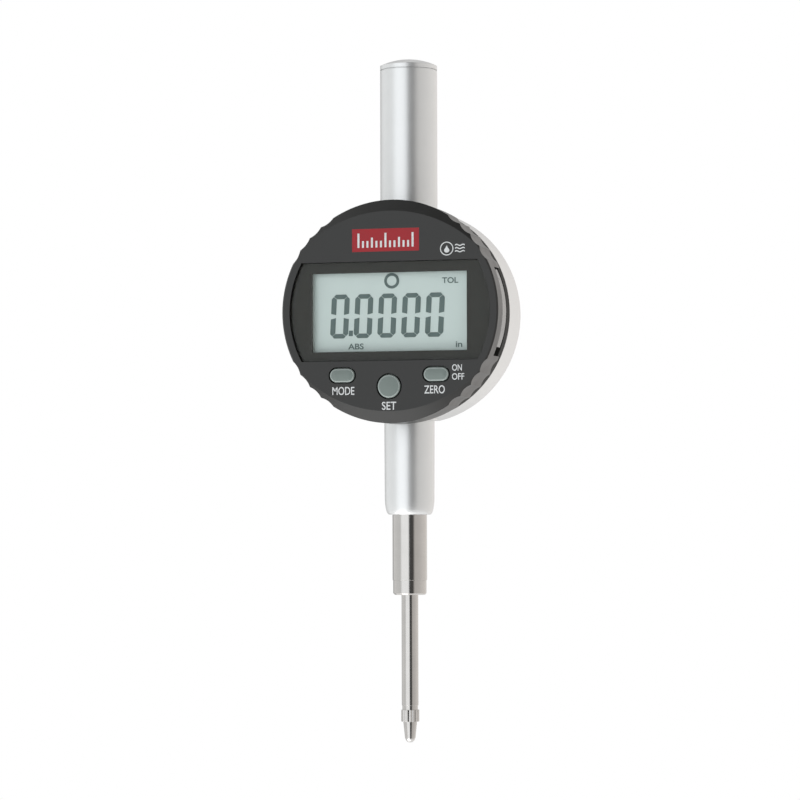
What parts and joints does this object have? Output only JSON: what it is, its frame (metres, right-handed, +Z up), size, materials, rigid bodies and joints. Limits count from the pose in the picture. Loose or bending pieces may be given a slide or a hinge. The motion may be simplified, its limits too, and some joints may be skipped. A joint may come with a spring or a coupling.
{
  "type": "digital dial indicator",
  "caption": "Round-faced digital plunger indicator with a turning display head, three buttons, a battery drawer, a clamping stem and a sprung contact plunger.",
  "frame": {"origin": "on the plunger's axis, halfway up the bare clamping stem", "axes": "+Z up along the plunger's axis towards the capped tube, display faces -Y, flat back faces +Y, +X to the right of the display"},
  "size_m": [0.0606, 0.0298, 0.1885],
  "materials": {
    "housing_plastic": "moulded, fine satin grain",
    "inner_plastic": "moulded, plain",
    "clear_lens": "clear polycarbonate, smoke tint, polished",
    "mask_print": "printed film seen through the lens",
    "label_red": "printed plate, plain",
    "lcd_panel": "reflective display panel",
    "white_plastic": "moulded, plain",
    "circuit_board": "solder-masked laminate",
    "chip_plastic": "moulded epoxy",
    "contact_metal": "gold-flashed spring metal",
    "strip_rubber": "layered silicone",
    "black_rubber": "nitrile rubber",
    "button_plastic": "moulded grey-green, satin",
    "satin_metal": "fine satin, plated",
    "polished_steel": "ground and polished",
    "hard_metal": "lapped carbide",
    "bearing_bronze": "turned bronze",
    "screw_steel": "nickel-plated",
    "spring_steel": "drawn wire",
    "carrier_metal": "milled",
    "scale_laminate": "printed laminate",
    "ribbon_film": "polyimide film",
    "cell_can": "nickel-plated can"
  },
  "bodies": {
    "case": {"hub_plate": "inner_plastic", "hub_plate_screws": "screw_steel", "retaining_ring": "screw_steel", "retaining_ring_screws": "screw_steel", "rotation_seal": "black_rubber", "rear_body": "satin_metal", "back_gasket": "black_rubber", "back_cover": "satin_metal", "back_cover_screws": "screw_steel", "sensor_board": "circuit_board", "sensor_board_screws": "screw_steel", "sensor_chip": "chip_plastic", "sensor_connector": "white_plastic", "ribbon_cable": "ribbon_film", "guide_rail": "bearing_bronze", "guide_rail_screws": "screw_steel", "upper_tube": "satin_metal", "upper_bush": "bearing_bronze", "tube_cap": "satin_metal", "cap_seal": "black_rubber", "return_spring": "spring_steel", "lower_barrel": "satin_metal", "mounting_stem": "polished_steel", "lower_bush": "bearing_bronze", "stem_end_bush": "polished_steel", "wiper_seal": "black_rubber", "rest_bumper": "black_rubber"},
    "display_head": {"front_housing": "housing_plastic", "display_lens": "clear_lens", "window_mask": "mask_print", "name_plate": "label_red", "lcd_glass": "lcd_panel", "lcd_frame": "white_plastic", "contact_strips": "strip_rubber", "main_board": "circuit_board", "processor_chip": "chip_plastic", "board_connector": "white_plastic", "dome_switches": "contact_metal", "keypad_frame": "inner_plastic", "battery_contacts": "contact_metal", "head_base": "inner_plastic", "head_base_screws": "screw_steel", "stop_pin": "screw_steel"},
    "mode_key": {"mode_button": "button_plastic"},
    "set_key": {"set_button": "button_plastic"},
    "zero_key": {"zero_button": "button_plastic"},
    "cell_drawer": {"battery_drawer": "housing_plastic", "drawer_seal": "black_rubber", "coin_cell": "cell_can"},
    "plunger_rod": {"plunger": "polished_steel", "scale_carrier": "carrier_metal", "carrier_screws": "screw_steel", "scale_plate": "scale_laminate", "guide_pin": "screw_steel", "contact_point": "polished_steel", "contact_ball": "hard_metal"}
  },
  "joints": [
    {"name": "plunger_slide", "type": "slide", "parent": "case", "child": "plunger_rod", "axis": [0, 0, 1], "range_m": [0, 0.0254], "stiffness_N_per_m": 30, "springref_m": -0.05, "deforming": ["return_spring"]},
    {"name": "display_turn", "type": "hinge", "parent": "case", "child": "display_head", "pos_m": [0, 0, 0.064], "axis": [0, 1, 0], "range_deg": [-135, 135]},
    {"name": "mode_press", "type": "slide", "parent": "display_head", "child": "mode_key", "axis": [0, 1, 0], "range_m": [0, 0.0007], "stiffness_N_per_m": 500, "springref_m": -0.0008},
    {"name": "set_press", "type": "slide", "parent": "display_head", "child": "set_key", "axis": [0, 1, 0], "range_m": [0, 0.0007], "stiffness_N_per_m": 500, "springref_m": -0.0008},
    {"name": "zero_press", "type": "slide", "parent": "display_head", "child": "zero_key", "axis": [0, 1, 0], "range_m": [0, 0.0007], "stiffness_N_per_m": 500, "springref_m": -0.0008},
    {"name": "drawer_slide", "type": "slide", "parent": "display_head", "child": "cell_drawer", "axis": [1, 0, 0], "range_m": [0, 0.022]}
  ]
}
